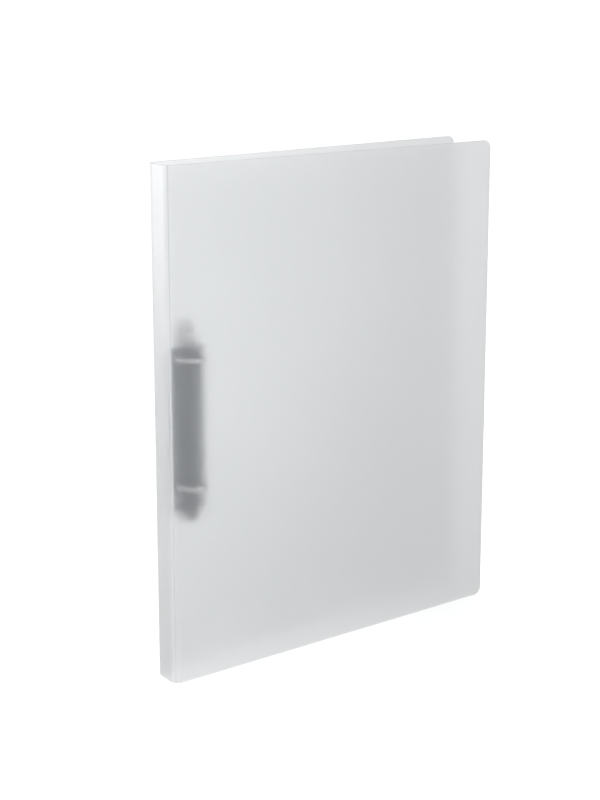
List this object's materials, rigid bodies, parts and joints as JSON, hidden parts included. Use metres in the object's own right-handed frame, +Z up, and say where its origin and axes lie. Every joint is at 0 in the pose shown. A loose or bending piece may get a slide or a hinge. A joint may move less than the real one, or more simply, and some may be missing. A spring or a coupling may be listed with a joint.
{
  "type": "ring binder",
  "caption": "Translucent plastic ring binder whose covers swing on scored folds round a riveted ring mechanism with a release lever.",
  "frame": {"origin": "bottom centre of the whole object as it stands on its lower edges", "axes": "+Z up along the spine, +X from the spine to the free edges, -Y out of the front cover"},
  "size_m": [0.249, 0.0364, 0.318],
  "materials": {
    "cover_sheet": "frosted translucent sheet with a fine embossed grain",
    "fold_strip": "the same sheet, scored and bent",
    "plate_steel": "dark nickel plated pressed steel",
    "rail_steel": "nickel plated strip",
    "ring_wire": "bright nickel plated wire",
    "rivet_steel": "bright nickel plated",
    "lever_steel": "dark nickel plated pressed steel"
  },
  "bodies": {
    "spine": {"spine_panel": "cover_sheet", "front_fold": "fold_strip", "rear_fold": "fold_strip"},
    "front_cover": {"front_cover": "cover_sheet"},
    "rear_cover": {"rear_cover": "cover_sheet", "ring_plate": "plate_steel", "lever_pin": "rivet_steel", "upper_rivet": "rivet_steel", "lower_rivet": "rivet_steel"},
    "free_jaw": {"free_side_rail": "rail_steel", "upper_ring_free_half": "ring_wire", "lower_ring_free_half": "ring_wire"},
    "spine_jaw": {"spine_side_rail": "rail_steel", "upper_ring_spine_half": "ring_wire", "lower_ring_spine_half": "ring_wire"},
    "lever": {"release_lever": "lever_steel"}
  },
  "joints": [
    {"name": "front_fold_hinge", "type": "hinge", "parent": "spine", "child": "front_cover", "pos_m": [-0.12261, -0.01632, 0.159], "axis": [0, 0, -1], "range_deg": [0, 180], "deforming": ["front_fold"]},
    {"name": "rear_fold_hinge", "type": "hinge", "parent": "spine", "child": "rear_cover", "pos_m": [-0.12271, 0.00178, 0.159], "axis": [0, 0, 1], "range_deg": [-3.4, 176.6], "deforming": ["rear_fold"]},
    {"name": "free_jaw_swing", "type": "hinge", "parent": "rear_cover", "child": "free_jaw", "pos_m": [-0.09241, 0.00097, 0.159], "axis": [0, 0, 1], "range_deg": [0, 24]},
    {"name": "spine_jaw_swing", "type": "hinge", "parent": "rear_cover", "child": "spine_jaw", "pos_m": [-0.11078, -0.00013, 0.159], "axis": [0, 0, -1], "range_deg": [0, 24]},
    {"name": "lever_swing", "type": "hinge", "parent": "rear_cover", "child": "lever", "pos_m": [-0.10161, 0.00062, 0.108], "axis": [0.9982, 0.0593, 0], "range_deg": [0, 22]}
  ],
  "couplings": [
    {"joint": "spine_jaw_swing", "follows": "free_jaw_swing", "ratio": 1},
    {"joint": "lever_swing", "follows": "free_jaw_swing", "ratio": 0.91667}
  ]
}
